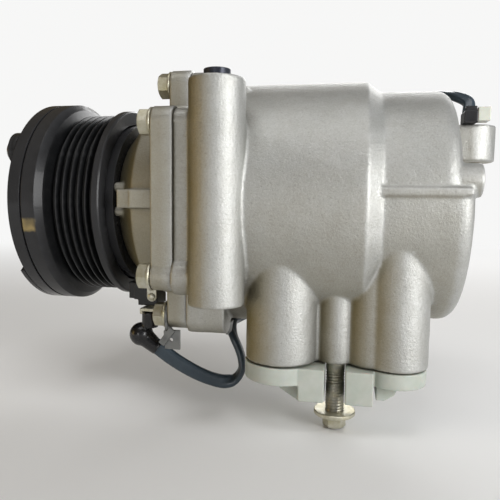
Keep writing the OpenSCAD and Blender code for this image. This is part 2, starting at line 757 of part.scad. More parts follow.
module orbiting_scroll() {
    color([0.72, 0.73, 0.74]) translate([0, 0, throw]) difference() {
        union() {
            rod_x(x_plate, x_wrap, plate_r);
            ring(62, x_plate + 0.5, 20.5, 17);
            slab(x_wrap - 0.5, x_fixed - 0.9) rotate(180) spiral(2.9, 13.5, spiral_wall);
        }
        for (k = [0 : 5]) rod_x(x_plate - 1, x_plate + 5.5, ring_out_r, guide_at_r * cos(60 * k),
            guide_at_r * sin(60 * k));
        rod_x(x_plate - 1, x_plate + 0.2, 17);
    }
}

module orbiting_tip_seal() {
    color([0.16, 0.16, 0.18]) translate([0, 0, throw]) slab(x_fixed - 0.88, x_fixed - 0.4) rotate(180)
        spiral(3.6, 13.2, 1.4);
}

module guide_rings() {
    color(steel) for (k = [0 : 5]) ring(x_plate + 0.2, x_plate + 5.4, ring_out_r - 0.04, ring_hole_r,
        guide_at_r * cos(60 * k), throw + guide_at_r * sin(60 * k));
}

module guide_pins() {
    color(steel) for (k = [0 : 5]) rod_x(64.2, x_plate + 4.9, guide_pin_r - 0.02, guide_at_r * cos(60 * k),
        guide_at_r * sin(60 * k));
}

module thrust_plate() {
    color(steel) difference() {
        ring(x_thrust + 0.02, x_plate - 0.3, bore_r - 0.6, hub_clear_r);
        for (k = [0 : 5]) rod_x(x_thrust - 1, x_plate + 1, guide_pin_r + 0.3, guide_at_r * cos(60 * k),
            guide_at_r * sin(60 * k));
    }
}

module fixed_scroll() {
    color([0.70, 0.71, 0.72]) difference() {
        union() {
            rod_x(x_fixed, x_shoulder, bore_r - 0.1);
            ring(x_wrap + 0.4, x_fixed + 0.5, bore_r - 0.4, 43.7);
            slab(x_wrap + 0.9, x_fixed + 0.5) spiral(2.9, 15.6, spiral_wall);
        }
        rod_x(x_fixed - 1, x_shoulder + 1, 4.4);
        rod_z(-60, -31, 12, suction_x, -port_y);
        rod_x(x_shoulder - 6, x_shoulder + 1, 1.5, 24, 0);
        turned([[x_fixed + 2.6, bore_r - 2], [x_fixed + 2.6, bore_r + 1], [x_fixed + 5, bore_r + 1],
            [x_fixed + 5, bore_r - 2]]);
    }
}

module fixed_tip_seal() {
    color([0.16, 0.16, 0.18]) slab(x_wrap + 0.4, x_wrap + 0.88) spiral(3.6, 14, 1.4);
}

module scroll_seal_ring() {
    color(black) o_ring(x_fixed + 3.8, bore_r - 1, 0.92);
}

// Leaf over the discharge hole; its stop clamps it along its outer end
module discharge_reed() {
    color(steel) slab(x_shoulder + 0.05, x_shoulder + 0.4) {
        circle(r = 7);
        translate([0, -4]) square([17.3, 8]);
    }
}

module reed_stop() {
    color(steel) difference() {
        union() {
            slab(x_shoulder + eps, x_shoulder + 2.3) {
                translate([17.5, -5]) square([6.5, 10]);
                translate([24, 0]) circle(r = 5);
            }
            translate([x_shoulder + 0.45, 18, -5]) rotate([0, 0, 10]) translate([0, -22, 0]) cube([1.85, 22, 10]);
        }
        rod_x(x_shoulder, x_shoulder + 9, 1.6, 24, 0);
    }
}

module reed_screw() {
    color(steel) {
        rod_x(x_shoulder + 2.32, x_shoulder + 4.6, 3.2, 24, 0);
        rod_x(x_shoulder - 5.6, x_shoulder + 2.4, 1.45, 24, 0);
    }
}

// ---------- hose face ----------

stud_y = port_y + 1.4;
washer_z = -87.2;

module port_stud() {
    color([0.25, 0.26, 0.24]) {
        rod_z(washer_z - 6, port_z + 15.8, 3.95, stud_x, -stud_y);
        rod_z(port_z - 6.4, port_z, 4.1, stud_x, -stud_y);
    }
}

// Flange nut whose hexagon has a corner at -Y
module stud_nut() {
    color(zinc) translate([stud_x, -stud_y, washer_z]) difference() {
        union() {
            translate([0, 0, -1.2]) cylinder(h = 1.2, r = 8.8);
            rotate(30) translate([0, 0, -7.3]) cylinder(h = 6.2, r = 4.9, $fn = 6);
        }
        translate([0, 0, -6.1]) cylinder(h = 8, r = 4);
    }
}

// Blanking cap: a disc over the port, a block towards the stud and a hub below
module cap_body(x, r, disc_t, block_x0, block_x1, hub) {
    translate([x, -port_y, port_z - disc_t - 0.6]) cylinder(h = disc_t, r = r);
    translate([block_x0, -port_y - 13.6, -80.6]) cube([block_x1 - block_x0, 22, 80.6 + port_z - 0.6]);
    translate([0, -port_y - 8, port_z - disc_t]) rotate([-90, 0, 0]) linear_extrude(14) polygon(hub);
}

module suction_cap() {
    color(cap_green) difference() {
        cap_body(suction_x, 15.9, 7.3, 103.3, 114, [[90.2, 0], [103.8, 0], [103.8, 9.4], [96.4, 4.8]]);
        rod_z(-73, port_z, 8.4, suction_x, -port_y);
    }
}

module discharge_cap() {
    color(cap_green) difference() {
        cap_body(discharge_x, 12.9, 6.6, 122.6, 133.8, [[135.2, 0], [144.6, 0], [142.4, 4.4], [138.6, 6.8], [135.2, 6.8]]);
        rod_z(-71.5, port_z, 5.6, discharge_x, -port_y);
    }
}

module cap_gaskets() {
    color(black) {
        translate([suction_x, -port_y, port_z - 0.58]) difference() {
            cylinder(h = 0.56, r = 13);
            translate([0, 0, -1]) cylinder(h = 3, r = 9.8);
        }
        translate([discharge_x, -port_y, port_z - 0.58]) difference() {
            cylinder(h = 0.56, r = 10.8);
            translate([0, 0, -1]) cylinder(h = 3, r = 7.2);
        }
    }
}

clutch_bolt();
hub_plate();
damper_pads();
damper_rivets();
armature_plate();
gap_shims();
pulley();
pulley_bearing_outer();
pulley_bearing_balls();
pulley_bearing_inner();
pulley_bearing_seals();
pulley_snap_ring();
coil_housing();
coil_winding();
coil_snap_ring();
coil_terminal();
terminal_clip();
terminal_screw();
boot_bracket();
lead_boot();
coil_lead();
lead_bracket();
lead_clips();
lead_connector();
connector_lock();
front_housing();
housing_bolts();
housing_seal_ring();
shaft_seal();
seal_snap_ring();
nose_bearing();
crankshaft();
main_bearing_inner();
main_bearing_balls();
main_bearing_outer();
counterweight();
drive_bush();
orbit_bearing();
orbiting_scroll();
orbiting_tip_seal();
guide_rings();
guide_pins();
thrust_plate();
fixed_scroll();
fixed_tip_seal();
scroll_seal_ring();
discharge_reed();
reed_stop();
reed_screw();
main_housing();
mount_bushes();
port_stud();
stud_nut();
suction_cap();
discharge_cap();
cap_gaskets();
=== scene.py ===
import bmesh
import bpy
import json
import math
import numpy as np
from mathutils import Matrix, Vector, noise


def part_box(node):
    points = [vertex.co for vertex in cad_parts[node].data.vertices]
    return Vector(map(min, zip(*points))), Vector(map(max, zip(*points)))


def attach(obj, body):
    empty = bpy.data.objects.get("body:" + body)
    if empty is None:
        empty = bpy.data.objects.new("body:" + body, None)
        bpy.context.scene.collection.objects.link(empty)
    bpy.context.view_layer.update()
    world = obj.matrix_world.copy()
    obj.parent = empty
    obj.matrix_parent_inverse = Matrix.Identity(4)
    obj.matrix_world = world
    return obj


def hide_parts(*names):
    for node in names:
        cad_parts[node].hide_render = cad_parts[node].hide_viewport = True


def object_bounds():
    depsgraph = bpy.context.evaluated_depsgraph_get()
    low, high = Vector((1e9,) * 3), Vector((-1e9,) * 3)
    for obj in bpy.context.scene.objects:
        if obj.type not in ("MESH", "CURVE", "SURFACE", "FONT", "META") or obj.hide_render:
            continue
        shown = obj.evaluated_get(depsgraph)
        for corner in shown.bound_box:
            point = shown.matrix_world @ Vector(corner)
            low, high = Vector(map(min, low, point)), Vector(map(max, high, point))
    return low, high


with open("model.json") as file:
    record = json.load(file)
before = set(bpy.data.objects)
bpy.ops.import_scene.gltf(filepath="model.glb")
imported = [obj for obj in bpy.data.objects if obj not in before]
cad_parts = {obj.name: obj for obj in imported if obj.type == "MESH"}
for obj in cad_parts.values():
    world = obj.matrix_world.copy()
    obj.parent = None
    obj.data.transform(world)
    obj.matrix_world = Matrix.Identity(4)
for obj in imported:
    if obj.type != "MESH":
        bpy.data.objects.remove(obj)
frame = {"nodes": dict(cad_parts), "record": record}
cad_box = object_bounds()
nodes = frame["nodes"]
scene = bpy.context.scene
MM = 0.001
STUD = (118.4, -37.4)   # x and y of the port stud's axis, mm
X_HUB = -29.4           # face of the hub plate under the centre bolt, mm
BOLT_SEAT = 41.5        # x of the face under the housing bolts' heads, mm
BOLT_CIRCLE = 59.0      # radius the housing bolts sit on, mm

# ---------- camera ----------

CAMERA_AT = (0.12093, -0.2555, 0.0009)
yaw, pitch, roll = math.radians(10.49), math.radians(-5.24), math.radians(0.66)
forward = Vector((-math.sin(yaw) * math.cos(pitch), math.cos(yaw) * math.cos(pitch), math.sin(pitch)))
level = Vector((math.cos(yaw), math.sin(yaw), 0))
above = level.cross(forward)
side = level * math.cos(roll) + above * math.sin(roll)
top = above * math.cos(roll) - level * math.sin(roll)
camera = bpy.data.objects.new("camera", bpy.data.cameras.new("camera"))
scene.collection.objects.link(camera)
camera.data.lens = 37.0
camera.data.sensor_width = 36.0
camera.data.clip_start = 0.01
camera.matrix_world = Matrix.Translation(CAMERA_AT) @ Matrix((side, top, -forward)).transposed().to_4x4()
scene.camera = camera


# ---------- material kit ----------

class Kit:
    """One material being built: a node tree with a Principled shader and object coordinates in metres."""

    def __init__(self, name):
        self.mat = bpy.data.materials.new(name)
        self.mat.use_nodes = True
        self.tree = self.mat.node_tree
        self.tree.nodes.clear()
        self.out = self.tree.nodes.new("ShaderNodeOutputMaterial")
        self.shader = self.tree.nodes.new("ShaderNodeBsdfPrincipled")
        self.tree.links.new(self.shader.outputs["BSDF"], self.out.inputs["Surface"])
        self.place = self.tree.nodes.new("ShaderNodeTexCoord").outputs["Object"]

    def put(self, value, socket):
        if hasattr(value, "links"):
            self.tree.links.new(value, socket)
        else:
            socket.default_value = value

    def stretch(self, scale):
        """Object coordinates scaled differently along the three axes."""
        m = self.tree.nodes.new("ShaderNodeMapping")
        m.inputs["Scale"].default_value = scale
        self.put(self.place, m.inputs["Vector"])
        return m.outputs["Vector"]

    def noise(self, scale, detail=3.0, rough=0.55, at=None, distort=0.0):
        n = self.tree.nodes.new("ShaderNodeTexNoise")
        n.inputs["Scale"].default_value = scale
        n.inputs["Detail"].default_value = detail
        n.inputs["Roughness"].default_value = rough
        n.inputs["Distortion"].default_value = distort
        self.put(self.place if at is None else at, n.inputs["Vector"])
        return n.outputs["Fac"]

    def cells(self, scale):
        n = self.tree.nodes.new("ShaderNodeTexVoronoi")
        n.inputs["Scale"].default_value = scale
        self.put(self.place, n.inputs["Vector"])
        return n.outputs["Distance"]

    def span(self, value, lo, hi, out_lo=0.0, out_hi=1.0, smooth=False):
        """Maps lo..hi to out_lo..out_hi, held at the ends."""
        n = self.tree.nodes.new("ShaderNodeMapRange")
        n.interpolation_type = "SMOOTHSTEP" if smooth else "LINEAR"
        for socket, v in zip(list(n.inputs)[:5], (value, lo, hi, out_lo, out_hi)):
            self.put(v, socket)
        return n.outputs["Result"]

    def math(self, how, a, b):
        n = self.tree.nodes.new("ShaderNodeMath")
        n.operation = how
        for socket, v in zip(n.inputs, (a, b)):
            self.put(v, socket)
        return n.outputs["Value"]

    def mix(self, how_much, a, b):
        """Colour a where how_much is 0 and b where it is 1."""
        n = self.tree.nodes.new("ShaderNodeMix")
        n.data_type = "RGBA"
        self.put(how_much, n.inputs[0])
        self.put(a if hasattr(a, "links") else (*a, 1), n.inputs[6])
        self.put(b if hasattr(b, "links") else (*b, 1), n.inputs[7])
        return n.outputs[2]

    def axis(self, name):
        n = self.tree.nodes.new("ShaderNodeSeparateXYZ")
        self.put(self.place, n.inputs[0])
        return n.outputs[name]

    def turned_to(self, direction, lo, hi):
        """0 to 1 as the surface faces direction."""
        n = self.tree.nodes.new("ShaderNodeVectorMath")
        n.operation = "DOT_PRODUCT"
        self.put(self.tree.nodes.new("ShaderNodeTexCoord").outputs["Normal"], n.inputs[0])
        n.inputs[1].default_value = direction
        return self.span(n.outputs["Value"], lo, hi)

    def edges(self, lo, hi):
        """Bright on outside edges of a dense mesh."""
        g = self.tree.nodes.new("ShaderNodeNewGeometry")
        return self.span(g.outputs["Pointiness"], lo, hi)

    def corners(self, reach, lo=0.35, hi=0.85):
        """1 in the open, 0 deep in a corner."""
        n = self.tree.nodes.new("ShaderNodeAmbientOcclusion")
        n.samples = 8
        n.inputs["Distance"].default_value = reach
        return self.span(n.outputs["AO"], lo, hi)

    def patch(self, low, high, soft):
        """1 inside a box and 0 outside it, fading over soft metres, with slightly ragged edges."""
        inside = 1.0
        for name, a, b in zip("XYZ", low, high):
            at = self.math("ADD", self.axis(name), self.span(self.noise(420, 3), 0.3, 0.7, -0.0004, 0.0004))
            for lo, hi in ((a - soft, a), (b + soft, b)):
                inside = self.math("MULTIPLY", inside, self.span(at, lo, hi))
        return inside

    def bump(self, *heights, edge=0.0):
        """Each height is (value, strength, distance in metres); edge rounds sharp edges by that radius."""
        last = None
        if edge:
            b = self.tree.nodes.new("ShaderNodeBevel")
            b.samples = 6
            b.inputs["Radius"].default_value = edge
            last = b.outputs["Normal"]
        for value, strength, distance in heights:
            n = self.tree.nodes.new("ShaderNodeBump")
            n.inputs["Strength"].default_value = strength
            n.inputs["Distance"].default_value = distance
            self.put(value, n.inputs["Height"])
            if last is not None:
                self.put(last, n.inputs["Normal"])
            last = n.outputs["Normal"]
        self.put(last, self.shader.inputs["Normal"])

    def finish(self, color, rough, metal=0.0, coat=0.0, coat_rough=0.1, specular=0.5):
        self.put(color if hasattr(color, "links") else (*color, 1), self.shader.inputs["Base Color"])
        self.put(rough, self.shader.inputs["Roughness"])
        self.put(metal, self.shader.inputs["Metallic"])
        self.shader.inputs["Coat Weight"].default_value = coat
        self.shader.inputs["Coat Roughness"].default_value = coat_rough
        self.shader.inputs["Specular IOR Level"].default_value = specular
        return self.mat


JOINT_X = (0.050, 0.046)        # metres: where the front housing's stain ends at the joint
PAINTED_WARM_SIDE = (-0.95, -0.05, -0.3)  # the way the faces with painted tan reflection and shade look


def cast_aluminium():
    k = Kit("cast_aluminium")
    broad = k.span(k.noise(38, 4, 0.6), 0.32, 0.68)
    blotch = k.span(k.noise(150, 3, 0.6, distort=0.4), 0.35, 0.7)
    grain = k.span(k.noise(1500, 3, 0.7), 0.3, 0.72)
    pits = k.span(k.cells(620), 0.05, 0.32)
    color = k.mix(broad, (0.385, 0.388, 0.366), (0.478, 0.482, 0.462))
    color = k.mix(k.math("MULTIPLY", blotch, 0.4), color, (0.33, 0.32, 0.285))
    color = k.mix(k.math("MULTIPLY", grain, 0.42), color, (0.575, 0.58, 0.57))
    color = k.mix(k.span(pits, 0, 1, 0.22, 0.0), color, (0.24, 0.235, 0.22))
    # the front housing is stained darker than the body behind it
    color = k.mix(k.span(k.axis("X"), *JOINT_X, 0.0, 0.5), color, (0.29, 0.265, 0.185))
    # painted tan reflection and shade on the sides towards the pulley and downwards
    painted_warm_side = k.math("MULTIPLY", k.turned_to(PAINTED_WARM_SIDE, -0.05, 0.8), k.span(broad, 0, 1, 0.75, 1.0))
    color = k.mix(painted_warm_side, color, (0.215, 0.170, 0.062))
    color = k.mix(k.span(k.edges(0.5, 0.56), 0, 1, 0.0, 0.25), color, (0.70, 0.70, 0.69))
    # painted shade: darker deep in corners and crevices
    color = k.mix(k.span(k.corners(0.012), 0, 1, 0.55, 0.0), color, (0.15, 0.14, 0.115))
    rough = k.span(grain, 0, 1, 0.56, 0.42)
    k.bump((k.noise(120, 3, 0.6), 0.35, 0.0006), (k.noise(900, 4, 0.75), 0.75, 0.0003), (pits, 0.3, 0.00012))
    return k.finish(color, rough, metal=0.8)


def machined_aluminium():
    k = Kit("machined_aluminium")
    lines = k.noise(1, 2, 0.5, at=k.stretch((3500, 300, 300)))
    color = k.mix(k.span(lines, 0.3, 0.7), (0.60, 0.61, 0.62), (0.74, 0.75, 0.76))
    k.bump((lines, 0.15, 0.0001), edge=0.0003)
    return k.finish(color, k.span(lines, 0.3, 0.7, 0.28, 0.4), metal=1.0)


def black_steel(name="black_steel", glint_box=None):
    k = Kit(name)
    haze = k.span(k.noise(60, 4, 0.6), 0.35, 0.7)
    dust = k.span(k.noise(900, 3, 0.7), 0.55, 0.8)
    color = k.mix(haze, (0.0035, 0.0037, 0.0042), (0.008, 0.0083, 0.0088))
    color = k.mix(k.math("MULTIPLY", dust, 0.10), color, (0.08, 0.08, 0.08))
    color = k.mix(k.span(k.edges(0.505, 0.56), 0, 1, 0.0, 0.25), color, (0.10, 0.10, 0.105))
    rough = k.span(haze, 0, 1, 0.15, 0.25)
    if glint_box:
        # painted reflection: a soft tan glint on the rim inside the box
        glint = k.math("MULTIPLY", k.patch(*glint_box), k.span(k.noise(130, 2), 0.3, 0.6, 0.45, 1.0))
        color = k.mix(glint, color, (0.30, 0.23, 0.10))
        rough = k.span(glint, 0, 1, 0.33, 0.7)
    k.bump((k.noise(350, 3, 0.6), 0.12, 0.0003), (k.noise(2600, 2, 0.6), 0.10, 0.0001), edge=0.0004)
    return k.finish(color, rough, coat=0.06, coat_rough=0.06, specular=0.18)


def bright_steel():
    k = Kit("bright_steel")
    grain = k.noise(1800, 3, 0.7)
    stain = k.span(k.noise(220, 4, 0.6), 0.45, 0.75)
    color = k.mix(stain, (0.60, 0.61, 0.62), (0.42, 0.41, 0.385))
    k.bump((grain, 0.12, 0.0001), edge=0.0002)
    return k.finish(color, k.span(grain, 0.3, 0.7, 0.24, 0.38), metal=1.0)


def dull_steel():
    k = Kit("dull_steel")
    spangle = k.span(k.cells(260), 0.1, 0.6)
    color = k.mix(spangle, (0.15, 0.155, 0.155), (0.22, 0.225, 0.22))
    k.bump((k.noise(1500, 3, 0.7), 0.15, 0.0001), edge=0.0002)
    return k.finish(color, k.span(spangle, 0, 1, 0.42, 0.52), metal=0.9)


def zinc_plate():
    k = Kit("zinc_plate")
    cloud = k.span(k.noise(190, 4, 0.65, distort=0.6), 0.34, 0.68)
    grain = k.noise(2000, 3, 0.7)
    color = k.mix(cloud, (0.60, 0.585, 0.50), (0.42, 0.385, 0.25))
    # painted shade: nearly black deep in corners, under heads and flanges
    color = k.mix(k.span(k.corners(0.003), 0, 1, 0.6, 0.0), color, (0.075, 0.065, 0.035))
    k.bump((grain, 0.14, 0.00012), (k.noise(420, 2), 0.2, 0.0003), edge=0.0003)
    return k.finish(color, k.span(grain, 0.3, 0.7, 0.30, 0.46), metal=0.85)


def black_rubber():
    k = Kit("black_rubber")
    dust = k.span(k.noise(260, 4, 0.65), 0.45, 0.8)
    color = k.mix(k.math("MULTIPLY", dust, 0.2), (0.008, 0.008, 0.009), (0.04, 0.04, 0.042))
    k.bump((k.noise(500, 2, 0.5), 0.1, 0.0002), edge=0.0004)
    return k.finish(color, k.span(dust, 0, 1, 0.24, 0.34))


def damper_rubber():
    k = Kit("damper_rubber")
    dust = k.span(k.noise(330, 4, 0.65), 0.38, 0.75)
    color = k.mix(dust, (0.028, 0.02, 0.014), (0.085, 0.062, 0.045))
    k.bump((k.noise(1200, 3, 0.7), 0.3, 0.0002), edge=0.0005)
    return k.finish(color, k.span(dust, 0, 1, 0.55, 0.75))


def copper():
    k = Kit("copper")
    wire = k.noise(1, 2, 0.5, at=k.stretch((1400, 90, 90)))
    color = k.mix(k.span(wire, 0.35, 0.65), (0.28, 0.10, 0.035), (0.50, 0.23, 0.09))
    k.bump((wire, 0.4, 0.0003))
    return k.finish(color, k.span(wire, 0.3, 0.7, 0.3, 0.45), metal=0.6)


def black_plastic():
    k = Kit("black_plastic")
    spark = k.noise(1500, 3, 0.7)
    color = k.mix(k.span(k.noise(120, 3), 0.35, 0.7), (0.008, 0.008, 0.009), (0.018, 0.018, 0.02))
    k.bump((spark, 0.18, 0.0001), edge=0.0004)
    return k.finish(color, k.span(spark, 0.3, 0.7, 0.30, 0.44))


def natural_plastic():
    k = Kit("natural_plastic")
    color = k.mix(k.span(k.noise(150, 3), 0.35, 0.7), (0.60, 0.62, 0.54), (0.68, 0.70, 0.63))
    k.bump((k.noise(900, 2), 0.1, 0.0001), edge=0.0004)
    k.shader.inputs["Subsurface Weight"].default_value = 0.12
    k.shader.inputs["Subsurface Scale"].default_value = 0.003
    return k.finish(color, k.span(k.noise(700, 2), 0.3, 0.7, 0.36, 0.48))


def cap_plastic():
    k = Kit("cap_plastic")
    cloud = k.span(k.noise(90, 4, 0.6), 0.35, 0.7)
    color = k.mix(cloud, (0.395, 0.425, 0.375), (0.475, 0.50, 0.455))
    # painted shade: darker deep in corners and where the caps meet the bosses
    color = k.mix(k.span(k.corners(0.006), 0, 1, 0.45, 0.0), color, (0.12, 0.125, 0.075))
    k.bump((k.noise(500, 3), 0.12, 0.0002), edge=0.0005)
    k.shader.inputs["Subsurface Weight"].default_value = 0.1
    k.shader.inputs["Subsurface Scale"].default_value = 0.003
    return k.finish(color, k.span(k.noise(800, 2), 0.3, 0.7, 0.30, 0.44))


def lead_sheath():
    k = Kit("lead_sheath")
    scuff = k.span(k.noise(240, 3, 0.55), 0.4, 0.75)
    color = k.mix(k.math("MULTIPLY", scuff, 0.3), (0.024, 0.040, 0.056), (0.055, 0.078, 0.098))
    k.bump((k.noise(300, 2, 0.5), 0.12, 0.0003))
    return k.finish(color, k.span(scuff, 0, 1, 0.30, 0.42), coat=0.25, coat_rough=0.25)


def dark_bush():
    k = Kit("dark_bush")
    cloud = k.span(k.noise(260, 3), 0.35, 0.7)
    color = k.mix(cloud, (0.018, 0.021, 0.032), (0.045, 0.05, 0.065))
    k.bump((k.noise(1400, 3), 0.2, 0.0001), edge=0.0004)
    return k.finish(color, k.span(cloud, 0, 1, 0.34, 0.5), metal=0.5)


def dark_stud():
    k = Kit("dark_stud")
    worn = k.span(k.noise(240, 4, 0.65), 0.35, 0.65)
    color = k.mix(worn, (0.20, 0.20, 0.19), (0.34, 0.32, 0.24))
    k.bump((k.noise(1500, 3), 0.2, 0.0001))
    return k.finish(color, k.span(worn, 0, 1, 0.34, 0.5), metal=0.9)


def tip_seal():
    k = Kit("tip_seal")
    fleck = k.noise(1800, 3, 0.7)
    color = k.mix(k.span(fleck, 0.35, 0.7), (0.05, 0.05, 0.055), (0.12, 0.12, 0.125))
    k.bump((fleck, 0.15, 0.0001))
    return k.finish(color, k.span(fleck, 0.3, 0.7, 0.45, 0.6))


finishes = {f.__name__: f() for f in (
    cast_aluminium, machined_aluminium, black_steel, bright_steel, zinc_plate, black_rubber,
    damper_rubber, copper, black_plastic, natural_plastic, cap_plastic, lead_sheath, dark_bush,
    dark_stud, tip_seal)}
# a tan reflection painted on the pulley's rim: a box in metres and the softness of its edge
RIM_GLINT = ((-0.0205, -0.06, -0.0118), (-0.0155, -0.04, -0.0082), 0.0016)
sheet_steel = dull_steel()

slot_of = {s["node"]: s["material_slot"] for s in frame["record"]["subparts"]}
special = {
    "pulley": black_steel("pulley_black", RIM_GLINT),
    "lead_bracket": sheet_steel,
    "lead_clips": sheet_steel,
}
for name, ob in nodes.items():
    ob.data.materials.clear()
    ob.data.materials.append(special.get(name) or finishes[slot_of[name]])


# ---------- mesh kit ----------

def add_piece(name, mesh, node, body="root"):
    """A piece that stands for a CAD node, with that node's finish."""
    ob = bpy.data.objects.new(name, mesh)
    scene.collection.objects.link(ob)
    mesh.materials.clear()
    mesh.materials.append(finishes[slot_of[node]])
    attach(ob, body)
    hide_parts(node)
    return ob


def shade(mesh, angle=None):
    for p in mesh.polygons:
        p.use_smooth = True
    if angle:
        mesh.set_sharp_from_angle(angle=math.radians(angle))


BROAD_WAVES, FINE_WAVES = 90, 260   # unevenness of cast skin, waves per metre


def softened(node, voxel, rounds, faces, wander=0.0, body="root"):
    """A copy of a CAD node with its edges rounded as a mould or die leaves them.

    voxel and wander are in metres, rounds is how often it is smoothed, faces the most triangles it keeps.
    """
    mesh = nodes[node].data.copy()
    bm = bmesh.new()
    bm.from_mesh(mesh)
    bmesh.ops.remove_doubles(bm, verts=bm.verts, dist=1e-6)
    bm.to_mesh(mesh)
    bm.free()
    ob = bpy.data.objects.new("work", mesh)
    scene.collection.objects.link(ob)
    remesh = ob.modifiers.new("remesh", "REMESH")
    remesh.mode = "VOXEL"
    remesh.voxel_size = voxel
    smooth = ob.modifiers.new("smooth", "SMOOTH")
    smooth.factor = 0.5
    smooth.iterations = rounds
    made = bpy.data.meshes.new_from_object(ob.evaluated_get(bpy.context.evaluated_depsgraph_get()))
    if wander:
        flat, out = np.empty(len(made.vertices) * 3), np.empty(len(made.vertices) * 3)
        made.vertices.foreach_get("co", flat)
        made.vertex_normals.foreach_get("vector", out)
        rise = [noise.noise(Vector(p) * BROAD_WAVES) + 0.5 * noise.noise(Vector(p) * FINE_WAVES)
                for p in flat.reshape(-1, 3)]
        flat += out * np.repeat(rise, 3) * wander
        made.vertices.foreach_set("co", flat)
        made.update()
    ob.modifiers.clear()
    ob.data = made
    if len(made.polygons) * 2 > faces:
        thin = ob.modifiers.new("thin", "DECIMATE")
        thin.ratio = faces / (len(made.polygons) * 2)
        made = bpy.data.meshes.new_from_object(ob.evaluated_get(bpy.context.evaluated_depsgraph_get()))
    bpy.data.objects.remove(ob)
    shade(made)
    return add_piece(node + "_finished", made, node, body)


def spun(bm, rings, place, count=64, radius_at=None):
    """Adds a closed turned shape to bm. rings are (radius, height); place puts it where it goes."""
    loops = []
    for r, h in rings:
        if r == 0:
            loops.append([bm.verts.new(place @ Vector((0, 0, h)))])
            continue
        loop = []
        for k in range(count):
            a = 2 * math.pi * k / count
            rr = radius_at(r, h, a) if radius_at else r
            loop.append(bm.verts.new(place @ Vector((rr * math.cos(a), rr * math.sin(a), h))))
        loops.append(loop)
    for low, high in zip(loops, loops[1:]):
        for k in range(count):
            a, b = k, (k + 1) % count
            if len(low) == 1:
                bm.faces.new((low[0], high[b], high[a]))
            elif len(high) == 1:
                bm.faces.new((low[a], low[b], high[0]))
            else:
                bm.faces.new((low[a], low[b], high[b], high[a]))


def hex_head(bm, place, flat, low, high, dish=0.0, count=96):
    """A hexagon head from low to high with a turned chamfer on top; flat is its inner radius."""
    cut = flat * 0.97

    def corner(a):
        return flat / math.cos((a + math.pi / 6) % (math.pi / 3) - math.pi / 6)

    loops = []
    for level in range(5):
        loop = []
        for k in range(count):
            a = 2 * math.pi * k / count
            r = corner(a)
            edge = high - (r - cut) * 0.55
            r, h = ((r - 0.25 * MM, low), (r, low + 0.25 * MM), (r, edge), (cut, high),
                    (cut * 0.72, high - dish))[level]
            loop.append(bm.verts.new(place @ Vector((r * math.cos(a), r * math.sin(a), h))))
        loops.append(loop)
    for a_loop, b_loop in zip(loops, loops[1:]):
        for k in range(count):
            n = (k + 1) % count
            bm.faces.new((a_loop[k], a_loop[n], b_loop[n], b_loop[k]))
    bm.faces.new(list(reversed(loops[0])))
    bm.faces.new(loops[-1])


def mesh_of(name, bm, angle=35):
    bmesh.ops.recalc_face_normals(bm, faces=bm.faces)
    mesh = bpy.data.meshes.new(name)
    bm.to_mesh(mesh)
    bm.free()
    shade(mesh, angle)
    return mesh


def facing(direction, at, turn=0.0):
    """Places local +Z along direction at a point given in mm."""
    spin = Vector(direction).to_track_quat("Z", "Y").to_matrix().to_4x4()
    return Matrix.Translation(Vector(at) * MM) @ spin @ Matrix.Rotation(turn, 4, "Z")


# ---------- lead ----------

# Point in mm, the way its flat side faces, and its width
ROUTE = [
    ((27.6, -24, -65.2), (0, 1, 0), 7.6), ((33, -23.6, -69.2), (0, 1, 0), 7.5),
    ((38.8, -23, -73.6), (0, 1, 0), 7.3), ((45.4, -22.3, -77.8), (0, 1, 0), 7.1),
    ((52.4, -21.4, -81.5), (0, 1, 0), 6.9), ((59.2, -20.3, -84.2), (0.1, 1, 0), 6.7),
    ((65.2, -19, -85.5), (0.5, 1, -0.3), 6.6), ((70, -17.6, -84.5), (1, 0.7, -0.5), 6.4),
    ((72.8, -16, -80.8), (1, 0.3, -0.3), 6.2), ((73, -14.6, -76.2), (1, 0, 0), 6.2),
    ((71.3, -13.4, -71), (1, 0, 0.3), 6.2), ((68.3, -12, -65.4), (1, 0, 0.5), 6.2),
    ((65.6, -7, -62), (0.5, 0, 1), 6.2), ((64.5, 0, -60.4), (0, 0, 1), 6.2),
    ((66.2, 8, -60.2), (0, -0.1, 1), 6.2), ((70, 16, -58.7), (0, -0.3, 1), 6.2),
    ((75, 25.2, -55.4), (0, -0.5, 1), 6.2), ((80.5, 34, -50.4), (0, -0.7, 1), 6.2),
    ((85, 42, -43.5), (0, -1, 1), 6.2), ((92, 48.5, -35.6), (0, -1, 0.7), 6.2),
    ((99, 53.8, -26.6), (0, -1, 0.5), 6.2), ((106.5, 57.6, -16.6), (0, -1, 0.3), 6.2),
    ((114, 59.5, -6), (0, -1, 0.1), 6.2), ((121.5, 59.5, 5), (0, -1, -0.1), 6.2),
    ((128, 57.8, 15.4), (0, -1, -0.3), 6.2), ((134, 54, 24.8), (0, -1, -0.4), 6.2),
    ((140, 47.6, 32.6), (0, -1, -0.7), 6.2), ((146, 40, 40), (0, -1, -1), 6.2),
    ((151.5, 31, 46.6), (0, -0.7, -1), 6.2), ((156.5, 20.5, 51.4), (0, -0.4, -1), 6.2),
    ((161.2, 10.5, 53.2), (0, -0.2, -1), 6.0), ((165.6, 2.6, 52), (0.1, 0.1, -1), 5.6),
    ((169.6, -3.6, 49.8), (0.4, 0.3, -1), 5.4), ((173, -8.4, 46.4), (0.3, 1, -0.6), 5.2),
    ((172.7, -11.4, 41.4), (0, 1, 0), 5.2)]
LEAD_T = 3.8            # thickness of the lead, mm


